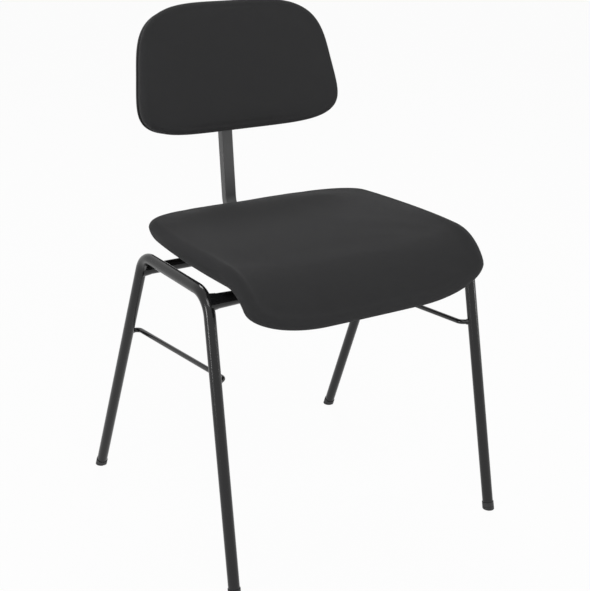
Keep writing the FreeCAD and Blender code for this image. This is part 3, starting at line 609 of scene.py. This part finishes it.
# The seat pad: cut foam on the plywood shell, covered with one piece of cloth that is drawn
# down over the edges and stapled under the rim. It lies level, a little hollow from side to
# side, and falls away over the front edge to spare the sitter's thighs.
seat_rear_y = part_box("seat_pad")[1].y
seat_fall = math.radians(0.4)
seat_flat_length = 0.3336
seat_front_radius = 0.0636
seat_turn = math.radians(60.0) - seat_fall
seat_bend_length = seat_front_radius * seat_turn
seat_front_tail = 0.0403
seat_length = seat_flat_length + seat_bend_length + seat_front_tail
seat_thickness = 0.0332
seat_middle_height = 0.4670
seat_dish = 0.0157
seat_front_dish = 0.0108
dish_reference = 0.230
seat_half_widths = (0.2016, 0.2256, 0.2150)
seat_rear_corner = (0.090, 0.165)
seat_front_corner = (0.046, 0.130)
seat_edge = 0.016
seat_foot = 0.0122
seat_board_inset = 0.014
seat_board_top = -seat_thickness / 2.0 + 0.0135
seat_crown = 0.005
seat_crown_run = 0.045
crest_softening = 0.012
crest_softening_place = 0.352
crest_softening_run = 0.075
seat_pressure = 0.4
seat_points_around = 280
seat_face_rings = 36
rim_steps = 8
narrowest_crown = 0.01


def seat_place(along, across, height):
    """The middle surface runs level, round an arc and down a straight tail; height is square
    to it, and the sides rise with the square of the distance from the middle."""
    bend = np.clip((along - seat_flat_length) / seat_front_radius, 0.0, seat_turn)
    turned = bend + seat_fall
    level = np.minimum(along, seat_flat_length)
    tail = np.maximum(along - seat_flat_length - seat_bend_length, 0.0)
    dish = seat_dish + (seat_front_dish - seat_dish) * np.clip(
        (along - seat_flat_length) / (seat_length - seat_flat_length), 0.0, 1.0)
    lifted = height + dish * (across / dish_reference) ** 2
    arc_y = seat_front_radius * (np.sin(turned) - math.sin(seat_fall))
    arc_z = seat_front_radius * (math.cos(seat_fall) - np.cos(turned))
    y = seat_rear_y - level * math.cos(seat_fall) - arc_y - tail * np.cos(turned)
    z = seat_middle_height - level * math.sin(seat_fall) - arc_z - tail * np.sin(turned)
    return np.stack([across, y - lifted * np.sin(turned), z + lifted * np.cos(turned)], axis=-1)


def seat_width(along):
    """Half the seat's width before its corners are rounded: a parabola through three widths."""
    u = along / seat_length
    rear, middle, front = seat_half_widths
    return rear * (1 - u) * (1 - 2 * u) + middle * 4 * u * (1 - u) + front * u * (2 * u - 1)


def seat_outline():
    """The cloth's outline: quarter ellipses at the four corners, joined by straight edges in
    front and behind and by gently bowed sides."""
    corner_steps, side_steps = 40, 60
    turn = np.linspace(0.0, math.pi / 2.0, corner_steps)
    rear_along = seat_rear_corner[0] * (1.0 - np.cos(turn))
    rear_across = seat_width(rear_along) - seat_rear_corner[1] * (1.0 - np.sin(turn))
    side_end = seat_length - seat_front_corner[0]
    side_along = np.linspace(seat_rear_corner[0], side_end, side_steps)[1:-1]
    side_across = seat_width(side_along)
    front_along = seat_length - seat_front_corner[0] * (1.0 - np.sin(turn))
    front_across = seat_width(front_along) - seat_front_corner[1] * (1.0 - np.cos(turn))
    along = np.concatenate([rear_along, side_along, front_along])
    across = np.concatenate([rear_across, side_across, front_across])
    half = np.stack([along, across], axis=1)
    other = half[::-1] * np.array([1.0, -1.0])
    return np.vstack([half, other])[::-1]


def seat_half_width(along):
    """The outline's half width with its corner ellipses, for a crown that dies out at the rim."""
    near = np.clip(1.0 - along / seat_rear_corner[0], 0.0, 1.0)
    far = np.clip(1.0 - (seat_length - along) / seat_front_corner[0], 0.0, 1.0)
    wide = seat_width(along) - seat_rear_corner[1] * (1.0 - np.sqrt(1.0 - near ** 2))
    return wide - seat_front_corner[1] * (1.0 - np.sqrt(1.0 - far ** 2))


def seat_crowned(along, across):
    """A crown that falls with the square of the distance from the middle line, scaled by the
    square of the width, and runs out over a short length at the front and rear edges. A bell
    curve takes some foam away where the seat turns down, so that the turn is gradual."""
    wide = seat_half_width(along)
    inner = np.maximum(wide - seat_edge, narrowest_crown)
    end = np.minimum(along, seat_length - along)
    run_out = np.clip(end / seat_crown_run, 0.0, 1.0)
    fall = np.clip(1.0 - (across / inner) ** 2, 0.0, 1.0)
    crown = seat_crown * (wide / dish_reference) ** 2 * fall * np.sin(run_out * math.pi / 2.0)
    bell = np.exp(-((along - crest_softening_place) / crest_softening_run) ** 2)
    return crown - crest_softening * bell * np.sqrt(fall)


seat_profile = pad_rings(seat_thickness / 2.0, -seat_thickness / 2.0, seat_edge, seat_foot,
                         seat_board_inset, seat_board_top, rim_steps)
seat_centre = np.array([seat_length * 0.48, 0.0])
seat_skin = pad_skin(even_points(seat_outline(), seat_points_around), seat_profile,
                     seat_crowned, seat_place, seat_centre, seat_face_rings)
seat_pad = pad_object("seat_cushion", seat_skin)
seat_pad.data.materials.append(upholstery)


def seat_held(points):
    """True for points in the lower third of the pad's depth, down to the rim's underside, where
    the cloth is stapled to the board; the depth is measured from the level run or the arc."""
    dish = seat_dish * (points[:, 0] / dish_reference) ** 2
    arc_y = seat_rear_y - seat_flat_length - points[:, 1]
    centre_z = seat_middle_height - seat_front_radius
    over_arc = np.hypot(arc_y, points[:, 2] - centre_z - dish) - seat_front_radius
    over_level = points[:, 2] - seat_middle_height - dish
    return np.where(arc_y < 0.0, over_level, over_arc) < -0.2 * seat_thickness


stuffed(seat_pad, seat_held, seat_pressure)
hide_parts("seat_pad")
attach(seat_pad, "root")


# The backrest pad: foam on its own curved shell, covered like the seat. Its cloth ends in a
# tight seam against the plastic cover, which shows as a thin dark line round the edge.
back_middle = np.array([0.0, 0.1955, 0.712])
back_tilt = math.radians(13.5)
back_rise = 0.1133
back_drop = 0.1055
back_half_width_bottom = 0.2022
back_half_width_top = 0.1682
back_thickness = 0.033
back_sag = 0.0175
sag_reference = 0.180
cover_thickness = 0.0045
seam_gap = 0.0003
back_top_power = 3.7
back_bottom_power = 4.6
back_edge = 0.011
back_foot = 0.006
back_board_inset = 0.013
back_crown = 0.004
back_crown_run = 0.03
back_pressure = 0.4
back_points_around = 240
back_face_rings = 28
back_up = np.array([0.0, math.sin(back_tilt), math.cos(back_tilt)])
back_out = np.array([0.0, -math.cos(back_tilt), math.sin(back_tilt)])
seam_height = -back_thickness / 2.0 + cover_thickness + seam_gap
back_board_top = seam_height + 0.010


def back_place(along, across, height):
    """along runs up the tilted middle line and height forward; the sides stand forward with
    the square of the distance from the middle."""
    lifted = height + back_sag * (across / sag_reference) ** 2
    return (back_middle + along[..., None] * back_up + lifted[..., None] * back_out
            + across[..., None] * np.array([1.0, 0.0, 0.0]))


def back_outline():
    """A superellipse, squarer below than above, wider below than above."""
    outline_steps = 720
    turn = np.linspace(-math.pi, math.pi, outline_steps, endpoint=False)
    rise = np.sin(turn)
    power = np.where(rise > 0.0, back_top_power, back_bottom_power)
    share = np.sign(rise) * np.abs(rise) ** (2.0 / power)
    side = np.sign(np.cos(turn)) * np.abs(np.cos(turn)) ** (2.0 / power)
    wide = (back_half_width_bottom + back_half_width_top) / 2.0
    wide = wide + (back_half_width_top - back_half_width_bottom) / 2.0 * share
    along = share * np.where(rise > 0.0, back_rise, back_drop)
    return np.stack([along, side * wide], axis=1)[::-1]


def back_crowned(along, across):
    """The seat's crown, on the backrest's superellipse."""
    share = np.clip(np.where(along > 0.0, along / back_rise, -along / back_drop), 0.0, 1.0)
    power = np.where(along > 0.0, back_top_power, back_bottom_power)
    wide = (back_half_width_bottom + back_half_width_top) / 2.0
    wide = wide + (back_half_width_top - back_half_width_bottom) / 2.0 * np.sign(along) * share
    wide = wide * (1.0 - share ** power) ** (1.0 / power)
    inner = np.maximum(wide - back_edge, narrowest_crown)
    end = np.where(along > 0.0, back_rise - along, back_drop + along)
    run_out = np.clip(end / back_crown_run, 0.0, 1.0)
    fall = np.clip(1.0 - (across / inner) ** 2, 0.0, 1.0)
    return back_crown * (wide / sag_reference) ** 2 * fall * np.sin(run_out * math.pi / 2.0)


back_rim = even_points(back_outline(), back_points_around)
back_profile = pad_rings(back_thickness / 2.0, seam_height, back_edge, back_foot,
                         back_board_inset, back_board_top, rim_steps)
back_centre = np.array([0.0, 0.0])
back_skin = pad_skin(back_rim, back_profile, back_crowned, back_place, back_centre,
                     back_face_rings)
back_pad = pad_object("back_cushion", back_skin)
back_pad.data.materials.append(upholstery)


def back_held(points):
    """True for points near the rear board, where the cloth is tucked into the seam."""
    out = (points - back_middle) @ back_out - back_sag * (points[:, 0] / sag_reference) ** 2
    return out < seam_height + 0.2 * back_thickness


stuffed(back_pad, back_held, back_pressure)
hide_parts("backrest_pad")
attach(back_pad, "root")


# The backrest's cover: one thin black plastic moulding behind the pad, with a leather-like
# grain. It follows the pad's outline a little inside it, its rim is rounded, and the seam
# between the two stays open by a hair.
cover_inset = 0.0022
cover_round = 0.0036
cover_round_steps = 7
cover_lip = 0.0004
cover_face_rings = 18
cover_low = -back_thickness / 2.0
cover_high = cover_low + cover_thickness


def cover_rings():
    """The moulding's rim as (distance in, height) pairs: a quarter circle round the rear edge
    and a small chamfer at the seam."""
    turn = np.linspace(0.0, math.pi / 2.0, cover_round_steps)
    rounded = np.stack([cover_inset + cover_round * (1.0 - np.sin(turn)),
                        cover_low + cover_round * (1.0 - np.cos(turn))], axis=1)
    lip = np.array([(cover_inset, cover_high - cover_lip), (cover_inset + cover_lip, cover_high)])
    return np.vstack([lip[::-1], rounded[::-1]])


def flat_face(along, across):
    """No crown: a moulding's face is as high as its rim everywhere."""
    return np.zeros(np.broadcast(along, across).shape)


cover_plastic, tree, shader = new_material("grained_cover")
spot = object_vector(tree)
grain = tree.nodes.new("ShaderNodeTexVoronoi")
grain.feature = "SMOOTH_F1"
grain.inputs["Scale"].default_value = 700.0
tree.links.new(spot, grain.inputs["Vector"])
marks = place_group(tree, handling_group, spot, Patch_size=0.09, Amount=0.5)
moulded = mixed_colour(tree, marks.outputs["Mask"], (0.019, 0.019, 0.020), (0.027, 0.027, 0.028))
tree.links.new(moulded, shader.inputs["Base Color"])
tree.links.new(ranged(tree, marks.outputs["Mask"], 0.5, 0.62), shader.inputs["Roughness"])
bumped(tree, shader, grain.outputs["Distance"], 0.00012, 0.6)

cover_skin = pad_skin(back_rim, cover_rings(), flat_face, back_place, back_centre,
                      cover_face_rings)
back_cover = pad_object("back_cover", cover_skin)
back_cover.data.materials.append(cover_plastic)
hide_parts("backrest_cover")
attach(back_cover, "root")
